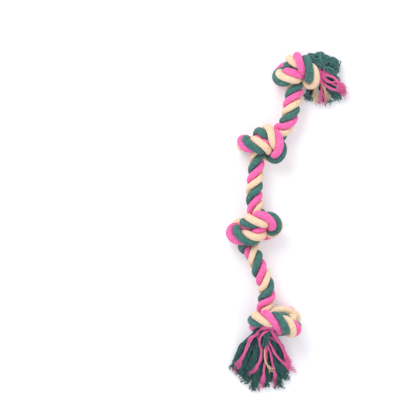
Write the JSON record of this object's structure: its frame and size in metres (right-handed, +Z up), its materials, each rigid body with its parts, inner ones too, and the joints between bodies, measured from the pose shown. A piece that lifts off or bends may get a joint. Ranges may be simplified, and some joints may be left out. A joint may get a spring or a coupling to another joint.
{
  "type": "rope dog toy",
  "caption": "Knotted cotton rope toy: thick twisted strands in pink, green and cream, tied in tight overhand knots, with a frayed tassel at each end.",
  "frame": {"origin": "middle of the toy on the surface it lies on", "axes": "+Y along the toy towards the tassel at the upper end, +Z up from the surface, the side that the picture shows facing +Z"},
  "size_m": [0.2476, 0.703, 0.0912],
  "materials": {
    "green_strand": "brushed cotton",
    "cream_strand": "brushed cotton",
    "pink_strand": "brushed cotton",
    "green_yarn": "loose cotton yarn",
    "cream_yarn": "loose cotton yarn",
    "pink_yarn": "loose cotton yarn"
  },
  "bodies": {
    "upper_end": {"knot_1_green_strand": "green_strand", "knot_1_cream_strand": "cream_strand", "knot_1_pink_strand": "pink_strand", "stretch_1_green_strand": "green_strand", "stretch_1_cream_strand": "cream_strand", "stretch_1_pink_strand": "pink_strand", "top_tassel_green_yarn_1": "green_yarn", "top_tassel_green_yarn_2": "green_yarn", "top_tassel_green_yarn_3": "green_yarn", "top_tassel_green_yarn_4": "green_yarn", "top_tassel_green_yarn_5": "green_yarn", "top_tassel_green_yarn_6": "green_yarn", "top_tassel_pink_yarn_7": "pink_yarn", "top_tassel_pink_yarn_8": "pink_yarn", "top_tassel_pink_yarn_9": "pink_yarn", "top_tassel_cream_yarn_10": "cream_yarn", "top_tassel_cream_yarn_11": "cream_yarn"},
    "upper_middle": {"knot_2_green_strand": "green_strand", "knot_2_cream_strand": "cream_strand", "knot_2_pink_strand": "pink_strand", "stretch_2_green_strand": "green_strand", "stretch_2_cream_strand": "cream_strand", "stretch_2_pink_strand": "pink_strand"},
    "lower_middle": {"knot_3_green_strand": "green_strand", "knot_3_cream_strand": "cream_strand", "knot_3_pink_strand": "pink_strand", "stretch_3_green_strand": "green_strand", "stretch_3_cream_strand": "cream_strand", "stretch_3_pink_strand": "pink_strand"},
    "lower_end": {"knot_4_green_strand": "green_strand", "knot_4_cream_strand": "cream_strand", "knot_4_pink_strand": "pink_strand", "bottom_tassel_green_yarn_1": "green_yarn", "bottom_tassel_green_yarn_2": "green_yarn", "bottom_tassel_green_yarn_3": "green_yarn", "bottom_tassel_green_yarn_4": "green_yarn", "bottom_tassel_green_yarn_5": "green_yarn", "bottom_tassel_green_yarn_6": "green_yarn", "bottom_tassel_green_yarn_7": "green_yarn", "bottom_tassel_pink_yarn_8": "pink_yarn", "bottom_tassel_pink_yarn_9": "pink_yarn", "bottom_tassel_pink_yarn_10": "pink_yarn", "bottom_tassel_pink_yarn_11": "pink_yarn", "bottom_tassel_pink_yarn_12": "pink_yarn", "bottom_tassel_pink_yarn_13": "pink_yarn", "bottom_tassel_cream_yarn_14": "cream_yarn"}
  },
  "joints": [
    {"name": "bend_1", "type": "hinge", "parent": "upper_middle", "child": "upper_end", "pos_m": [0.0094, 0.2349, 0.034], "axis": [0, 0, 1], "range_deg": [-60, 60], "deforming": ["stretch_1_green_strand", "stretch_1_cream_strand", "stretch_1_pink_strand"]},
    {"name": "bend_2", "type": "hinge", "parent": "upper_middle", "child": "lower_middle", "pos_m": [-0.0654, 0.0825, 0.034], "axis": [0, 0, 1], "range_deg": [-60, 60], "deforming": ["stretch_2_green_strand", "stretch_2_cream_strand", "stretch_2_pink_strand"]},
    {"name": "bend_3", "type": "hinge", "parent": "lower_middle", "child": "lower_end", "pos_m": [-0.0512, -0.116, 0.034], "axis": [0, 0, 1], "range_deg": [-60, 60], "deforming": ["stretch_3_green_strand", "stretch_3_cream_strand", "stretch_3_pink_strand"]}
  ]
}
